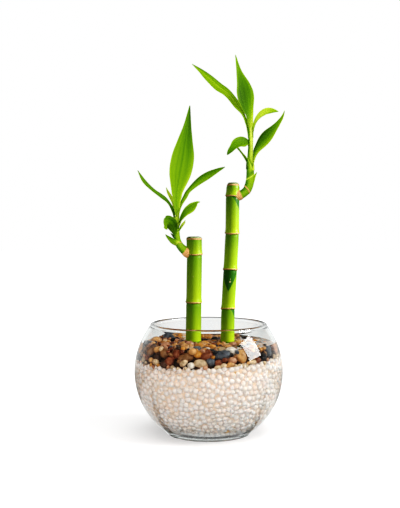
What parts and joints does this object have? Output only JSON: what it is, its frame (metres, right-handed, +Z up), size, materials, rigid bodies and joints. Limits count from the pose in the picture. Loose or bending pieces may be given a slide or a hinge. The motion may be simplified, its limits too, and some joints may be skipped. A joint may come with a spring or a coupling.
{
  "type": "lucky bamboo in a glass bowl",
  "caption": "Lucky bamboo: cut canes with leafy shoots standing in white gravel, river pebbles and water in a round glass bowl.",
  "frame": {"origin": "centre of the bowl's flat base, on the surface that it stands on", "axes": "+Z up through the bowl's round mouth, +X to the right as seen from the front, the front of the plant faces -Y"},
  "size_m": [0.1274, 0.127, 0.3249],
  "materials": {
    "bowl_glass": "clear polished soda glass with a thick foot",
    "white_gravel": "translucent white quartz grains",
    "river_pebbles": "tumbled river stones in tan, rust, grey and charcoal, wet below the water line",
    "water": "clear still water",
    "cane": "satin green rind with tan joint rings",
    "wax": "dull sealing wax over the cut end",
    "shoot": "smooth pale green stem",
    "leaf": "glossy green blade with fine parallel veins"
  },
  "bodies": {
    "root": {"bowl": "bowl_glass", "gravel_bed": "white_gravel", "pebble_layer": "river_pebbles", "water": "water", "cane_short": "cane", "wax_cap_short": "wax", "cane_tall": "cane", "wax_cap_tall": "wax", "shoot_short": "shoot", "shoot_tall": "shoot", "leaf_s1_curled": "leaf", "leaf_s2_short": "leaf", "leaf_s3_right": "leaf", "leaf_s4_left": "leaf", "leaf_s5_upright": "leaf", "leaf_s6_young": "leaf", "leaf_s7_small": "leaf", "bract_s1": "leaf", "bract_s2": "leaf", "leaf_t1_narrow": "leaf", "leaf_t2_drooping": "leaf", "leaf_t3_right": "leaf", "leaf_t4_left": "leaf", "leaf_t5_small": "leaf", "leaf_t6_top": "leaf", "bract_t1": "leaf"}
  },
  "joints": []
}
